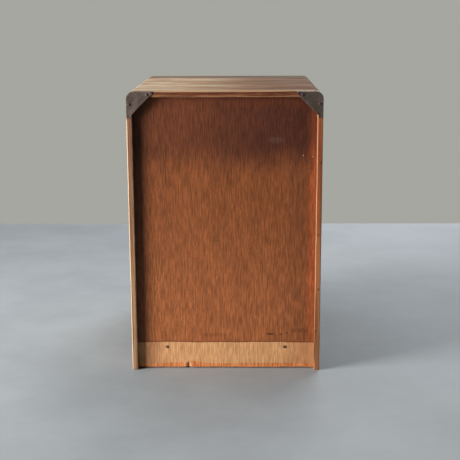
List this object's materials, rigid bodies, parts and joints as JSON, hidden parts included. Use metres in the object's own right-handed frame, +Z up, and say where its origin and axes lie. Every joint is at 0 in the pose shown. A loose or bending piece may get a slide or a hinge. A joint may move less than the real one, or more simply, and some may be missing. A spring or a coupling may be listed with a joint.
{
  "type": "drawer cabinet for small parts",
  "caption": "Small free-standing wooden cabinet of drawers for small parts, with rounded upper edges, a recessed plywood back and folded steel corner plates.",
  "frame": {"origin": "on the floor, under the middle of the object's bounding box", "axes": "+Z up, the drawer fronts face -Y, the plywood back faces +Y, +X to the right as seen from the front"},
  "size_m": [0.33, 0.4072, 0.49],
  "materials": {
    "case_wood": "old reddish-brown stain, worn pale along the edges",
    "panel_plywood": "reddish-brown stained plywood with a bare strip at the bottom",
    "inner_wood": "unfinished, darkened with age",
    "drawer_front_wood": "old reddish-brown stain, satin",
    "drawer_wood": "unfinished",
    "drawer_plywood": "unfinished plywood",
    "aged_steel": "aged brown-grey sheet steel, dull",
    "nail_steel": "dark, slightly rusted",
    "label_card": null
  },
  "bodies": {
    "case": {"left_side": "case_wood", "right_side": "case_wood", "top_board": "case_wood", "bottom_board": "inner_wood", "plinth_rail": "case_wood", "back_panel": "panel_plywood", "shelf_1": "inner_wood", "shelf_2": "inner_wood", "shelf_3": "inner_wood", "centre_divider": "inner_wood", "corner_plate_left": "aged_steel", "corner_plate_right": "aged_steel", "corner_tack_left_top": "nail_steel", "corner_tack_left_side": "nail_steel", "panel_nail_left": "nail_steel", "corner_tack_right_top": "nail_steel", "corner_tack_right_side": "nail_steel", "panel_nail_right": "nail_steel"},
    "drawer_1": {"drawer_1_front": "drawer_front_wood", "drawer_1_left_side": "drawer_wood", "drawer_1_right_side": "drawer_wood", "drawer_1_back": "drawer_wood", "drawer_1_bottom": "drawer_plywood", "drawer_1_pull": "aged_steel"},
    "drawer_2": {"drawer_2_front": "drawer_front_wood", "drawer_2_left_side": "drawer_wood", "drawer_2_right_side": "drawer_wood", "drawer_2_back": "drawer_wood", "drawer_2_bottom": "drawer_plywood", "drawer_2_pull": "aged_steel"},
    "drawer_3": {"drawer_3_front": "drawer_front_wood", "drawer_3_left_side": "drawer_wood", "drawer_3_right_side": "drawer_wood", "drawer_3_back": "drawer_wood", "drawer_3_bottom": "drawer_plywood", "drawer_3_pull": "aged_steel"},
    "drawer_4": {"drawer_4_front": "drawer_front_wood", "drawer_4_left_side": "drawer_wood", "drawer_4_right_side": "drawer_wood", "drawer_4_back": "drawer_wood", "drawer_4_bottom": "drawer_plywood", "drawer_4_pull": "aged_steel"},
    "drawer_5": {"drawer_5_front": "drawer_front_wood", "drawer_5_left_side": "drawer_wood", "drawer_5_right_side": "drawer_wood", "drawer_5_back": "drawer_wood", "drawer_5_bottom": "drawer_plywood", "drawer_5_pull": "aged_steel"},
    "drawer_6": {"drawer_6_front": "drawer_front_wood", "drawer_6_left_side": "drawer_wood", "drawer_6_right_side": "drawer_wood", "drawer_6_back": "drawer_wood", "drawer_6_bottom": "drawer_plywood", "drawer_6_pull": "aged_steel"},
    "drawer_7": {"drawer_7_front": "drawer_front_wood", "drawer_7_left_side": "drawer_wood", "drawer_7_right_side": "drawer_wood", "drawer_7_back": "drawer_wood", "drawer_7_bottom": "drawer_plywood", "drawer_7_pull": "aged_steel"}
  },
  "joints": [
    {"name": "drawer_1_slide", "type": "slide", "parent": "case", "child": "drawer_1", "axis": [0, -1, 0], "range_m": [0, 0.3]},
    {"name": "drawer_2_slide", "type": "slide", "parent": "case", "child": "drawer_2", "axis": [0, -1, 0], "range_m": [0, 0.3]},
    {"name": "drawer_3_slide", "type": "slide", "parent": "case", "child": "drawer_3", "axis": [0, -1, 0], "range_m": [0, 0.3]},
    {"name": "drawer_4_slide", "type": "slide", "parent": "case", "child": "drawer_4", "axis": [0, -1, 0], "range_m": [0, 0.3]},
    {"name": "drawer_5_slide", "type": "slide", "parent": "case", "child": "drawer_5", "axis": [0, -1, 0], "range_m": [0, 0.3]},
    {"name": "drawer_6_slide", "type": "slide", "parent": "case", "child": "drawer_6", "axis": [0, -1, 0], "range_m": [0, 0.3]},
    {"name": "drawer_7_slide", "type": "slide", "parent": "case", "child": "drawer_7", "axis": [0, -1, 0], "range_m": [0, 0.3]}
  ]
}
